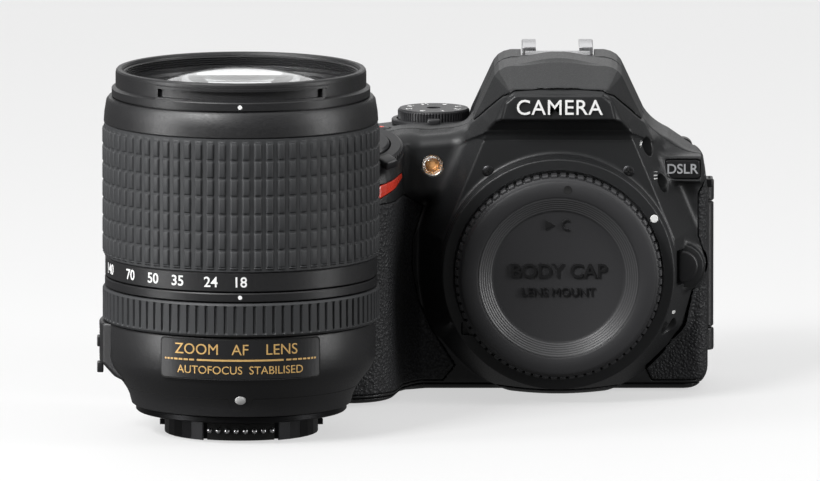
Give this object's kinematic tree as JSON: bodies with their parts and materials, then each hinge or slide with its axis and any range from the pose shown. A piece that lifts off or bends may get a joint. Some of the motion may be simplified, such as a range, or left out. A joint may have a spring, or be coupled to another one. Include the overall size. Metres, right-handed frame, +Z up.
{
  "type": "dslr camera with zoom lens",
  "caption": "Digital SLR body with capped lens mount, folding screen and pop-up flash, and its zoom lens standing beside it.",
  "frame": {"origin": "on the underside of the base, below the optical axis, in the plane of the image sensor", "axes": "+X towards the camera's left-hand side, -Y out of the lens mount towards the subject, +Z up"},
  "size_m": [0.1761, 0.1552, 0.1035],
  "materials": {
    "body_plastic": "fine-grained black polycarbonate",
    "rubber": "black leather-grained rubber",
    "lens_plastic": "fine matt black lens barrel",
    "lens_rubber": "ribbed dark grey rubber",
    "cap_plastic": "moulded dark grey plastic",
    "control_plastic": "satin black",
    "red_inlay": "glossy red",
    "steel": "machined",
    "black_steel": "black painted",
    "inner_black": "flocked matt black",
    "glass": "coated",
    "lamp_glass": "amber tinted",
    "sensor_glass": "polished filter glass",
    "mirror_glass": "silvered",
    "screen_glass": "black glass",
    "circuit": "solder masked",
    "battery_grey": "moulded grey"
  },
  "bodies": {
    "camera": {"front_cover": "body_plastic", "top_cover": "body_plastic", "rear_cover": "body_plastic", "bottom_cover": "body_plastic", "grip_rubber": "rubber", "side_rubber": "rubber", "thumb_rubber": "rubber", "mirror_box": "inner_black", "mount_ring": "steel", "image_sensor": "sensor_glass", "shutter_frame": "inner_black", "pentamirror": "mirror_glass", "main_board": "circuit", "eyecup": "rubber", "hot_shoe": "black_steel", "battery": "battery_grey", "strap_lug_right": "black_steel", "strap_lug_left": "black_steel", "focus_lamp": "lamp_glass", "grip_inlay": "red_inlay", "tripod_socket": "steel"},
    "lens": {"lens_rear_barrel": "lens_plastic", "lens_bayonet": "steel", "lens_contact_block": "inner_black", "lens_index_ring": "lens_plastic", "lens_rear_element": "glass"},
    "lens_front": {"lens_front_barrel": "lens_plastic", "lens_front_element": "glass"},
    "flash": {"flash_head": "body_plastic", "flash_window": "glass"},
    "screen": {"screen_hinge": "control_plastic", "screen_panel": "screen_glass"},
    "shutter_curtain": {"shutter_curtain": "inner_black"},
    "reflex_mirror": {"reflex_mirror": "mirror_glass"},
    "body_cap": {"body_cap": "cap_plastic"},
    "shutter_button": {"shutter_button": "control_plastic"},
    "power_lever": {"power_lever": "control_plastic"},
    "mode_dial": {"mode_dial": "control_plastic"},
    "command_dial": {"command_dial": "control_plastic"},
    "movie_button": {"movie_button": "control_plastic"},
    "exposure_button": {"exposure_button": "control_plastic"},
    "lens_release_button": {"lens_release_button": "control_plastic"},
    "lock_pin": {"lock_pin": "steel"},
    "flash_button": {"flash_button": "control_plastic"},
    "function_button": {"function_button": "control_plastic"},
    "timer_button": {"timer_button": "control_plastic"},
    "battery_door": {"battery_door": "body_plastic"},
    "card_door": {"card_door": "body_plastic"},
    "terminal_cover": {"terminal_cover": "rubber"},
    "menu_button": {"menu_button": "control_plastic"},
    "playback_button": {"playback_button": "control_plastic"},
    "zoom_in_button": {"zoom_in_button": "control_plastic"},
    "zoom_out_button": {"zoom_out_button": "control_plastic"},
    "multi_selector": {"multi_selector": "control_plastic"},
    "live_view_lever": {"live_view_lever": "control_plastic"},
    "lens_focus_ring": {"lens_focus_ring": "lens_rubber"},
    "lens_zoom_ring": {"lens_zoom_ring": "lens_rubber"},
    "lens_focus_switch": {"lens_focus_switch": "control_plastic"},
    "lens_stabiliser_switch": {"lens_stabiliser_switch": "control_plastic"},
    "lens_aperture_lever": {"lens_aperture_lever": "steel"}
  },
  "joints": [
    {"name": "shutter_press", "type": "slide", "parent": "camera", "child": "shutter_button", "axis": [0, 0.342, -0.9397], "range_m": [0, 0.0012], "stiffness_N_per_m": 300},
    {"name": "power_turn", "type": "hinge", "parent": "camera", "child": "power_lever", "pos_m": [-0.056, -0.038, 0.071], "axis": [0, -0.342, 0.9397], "range_deg": [-33, 0]},
    {"name": "mode_turn", "type": "hinge", "parent": "camera", "child": "mode_dial", "pos_m": [-0.0355, 0.0015, 0.0745], "axis": [0, 0, 1], "continuous": true},
    {"name": "live_view_turn", "type": "hinge", "parent": "camera", "child": "live_view_lever", "pos_m": [-0.0355, 0.0015, 0.0745], "axis": [0, 0, 1], "range_deg": [0, 18], "stiffness_Nm_per_rad": 0.02},
    {"name": "command_turn", "type": "hinge", "parent": "camera", "child": "command_dial", "pos_m": [-0.062, 0.0025, 0.0668], "axis": [0, 0, 1], "continuous": true},
    {"name": "movie_press", "type": "slide", "parent": "camera", "child": "movie_button", "axis": [0, 0, -1], "range_m": [0, 0.0006], "stiffness_N_per_m": 300},
    {"name": "exposure_press", "type": "slide", "parent": "camera", "child": "exposure_button", "axis": [0, 0, -1], "range_m": [0, 0.0006], "stiffness_N_per_m": 300},
    {"name": "flash_press", "type": "slide", "parent": "camera", "child": "flash_button", "axis": [-0.925, 0, -0.38], "range_m": [0, 0.0006], "stiffness_N_per_m": 300},
    {"name": "function_press", "type": "slide", "parent": "camera", "child": "function_button", "axis": [-0.925, 0, -0.38], "range_m": [0, 0.0006], "stiffness_N_per_m": 300},
    {"name": "timer_press", "type": "slide", "parent": "camera", "child": "timer_button", "axis": [-0.8832, 0, 0.4691], "range_m": [0, 0.0006], "stiffness_N_per_m": 300},
    {"name": "menu_press", "type": "slide", "parent": "camera", "child": "menu_button", "axis": [0, -1, 0], "range_m": [0, 0.0006], "stiffness_N_per_m": 300},
    {"name": "playback_press", "type": "slide", "parent": "camera", "child": "playback_button", "axis": [0, -1, 0], "range_m": [0, 0.0006], "stiffness_N_per_m": 300},
    {"name": "zoom_in_press", "type": "slide", "parent": "camera", "child": "zoom_in_button", "axis": [0, -1, 0], "range_m": [0, 0.0006], "stiffness_N_per_m": 300},
    {"name": "zoom_out_press", "type": "slide", "parent": "camera", "child": "zoom_out_button", "axis": [0, -1, 0], "range_m": [0, 0.0006], "stiffness_N_per_m": 300},
    {"name": "selector_press", "type": "slide", "parent": "camera", "child": "multi_selector", "axis": [0, -1, 0], "range_m": [0, 0.0006], "stiffness_N_per_m": 300},
    {"name": "release_press", "type": "slide", "parent": "camera", "child": "lens_release_button", "axis": [0, 1, 0], "range_m": [0, 0.0025], "stiffness_N_per_m": 300},
    {"name": "lock_pin_slide", "type": "slide", "parent": "camera", "child": "lock_pin", "axis": [0, 1, 0], "range_m": [0, 0.0016], "stiffness_N_per_m": 300},
    {"name": "flash_lift", "type": "hinge", "parent": "camera", "child": "flash", "pos_m": [0, -0.0096, 0.094], "axis": [-1, 0, 0], "range_deg": [0, 48]},
    {"name": "cap_pull", "type": "slide", "parent": "camera", "child": "body_cap", "axis": [0, -1, 0], "range_m": [0, 0.05]},
    {"name": "screen_swing", "type": "hinge", "parent": "camera", "child": "screen", "pos_m": [0.0426, 0.0095, 0.0325], "axis": [0, 0, -1], "range_deg": [0, 180]},
    {"name": "battery_door_swing", "type": "hinge", "parent": "camera", "child": "battery_door", "pos_m": [-0.059, -0.026, 0], "axis": [0, -1, 0], "range_deg": [0, 90]},
    {"name": "card_door_swing", "type": "hinge", "parent": "camera", "child": "card_door", "pos_m": [-0.0791, 0.005, 0.038], "axis": [0, 0, -1], "range_deg": [0, 100]},
    {"name": "terminal_cover_swing", "type": "hinge", "parent": "camera", "child": "terminal_cover", "pos_m": [0.0431, -0.019, 0.036], "axis": [0, 0, -1], "range_deg": [0, 110]},
    {"name": "mirror_flip", "type": "hinge", "parent": "camera", "child": "reflex_mirror", "pos_m": [0, -0.0095, 0.0505], "axis": [-1, 0, 0], "range_deg": [0, 45], "stiffness_Nm_per_rad": 0.01},
    {"name": "curtain_slide", "type": "slide", "parent": "camera", "child": "shutter_curtain", "axis": [0, 0, -1], "range_m": [0, 0.0175]},
    {"name": "lens_lift", "type": "slide", "parent": "camera", "child": "lens", "axis": [0, 0, 1], "range_m": [0, 0.12]},
    {"name": "zoom_turn", "type": "hinge", "parent": "lens", "child": "lens_zoom_ring", "pos_m": [-0.09, -0.098, 0], "axis": [0, 0, 1], "range_deg": [0, 74]},
    {"name": "zoom_extend", "type": "slide", "parent": "lens", "child": "lens_front", "axis": [0, 0, 1], "range_m": [0, 0.0455]},
    {"name": "focus_turn", "type": "hinge", "parent": "lens", "child": "lens_focus_ring", "pos_m": [-0.09, -0.098, 0], "axis": [0, 0, 1], "range_deg": [0, 110]},
    {"name": "focus_switch_slide", "type": "slide", "parent": "lens", "child": "lens_focus_switch", "axis": [0, 1, 0], "range_m": [0, 0.004]},
    {"name": "stabiliser_switch_slide", "type": "slide", "parent": "lens", "child": "lens_stabiliser_switch", "axis": [0, 1, 0], "range_m": [0, 0.004]},
    {"name": "aperture_turn", "type": "hinge", "parent": "lens", "child": "lens_aperture_lever", "pos_m": [-0.09, -0.098, 0], "axis": [0, 0, 1], "range_deg": [0, 25], "stiffness_Nm_per_rad": 0.01}
  ],
  "couplings": [
    {"joint": "lock_pin_slide", "follows": "release_press", "ratio": 0.64},
    {"joint": "zoom_extend", "follows": "zoom_turn", "m_per_rad": 0.0352}
  ]
}
